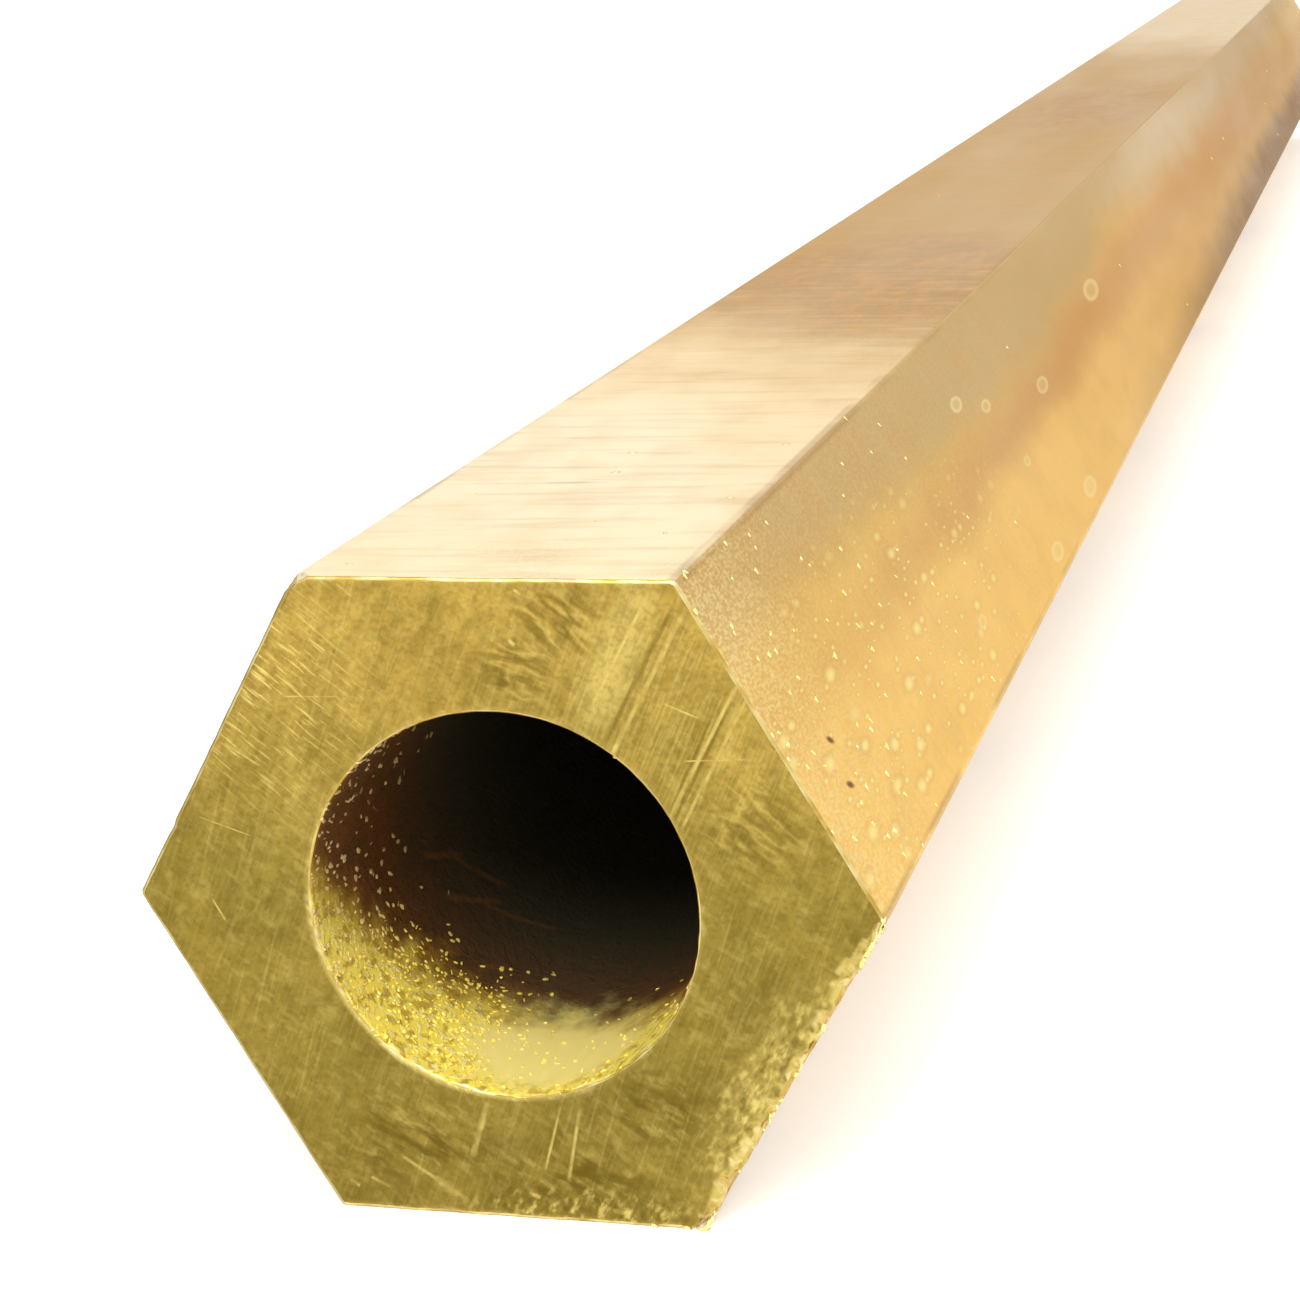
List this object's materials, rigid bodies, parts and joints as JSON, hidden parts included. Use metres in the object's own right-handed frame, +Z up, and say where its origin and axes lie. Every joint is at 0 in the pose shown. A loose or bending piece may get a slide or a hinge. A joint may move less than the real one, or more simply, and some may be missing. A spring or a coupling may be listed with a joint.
{
  "type": "hexagonal brass tube",
  "caption": "Straight length of drawn hexagonal brass tube with a round bore right through and plain sawn ends.",
  "frame": {"origin": "middle of the length, on the flat that the tube lies on", "axes": "+Y along the bore, from the near end in the picture to the far end; +Z up, square to the flat that it lies on; +X to the right of that near end"},
  "size_m": [0.0346, 0.5, 0.03],
  "materials": {
    "brass": "drawn satin flats, sawn ends, dark as-drawn bore"
  },
  "bodies": {
    "root": {"hex_tube": "brass"}
  },
  "joints": []
}
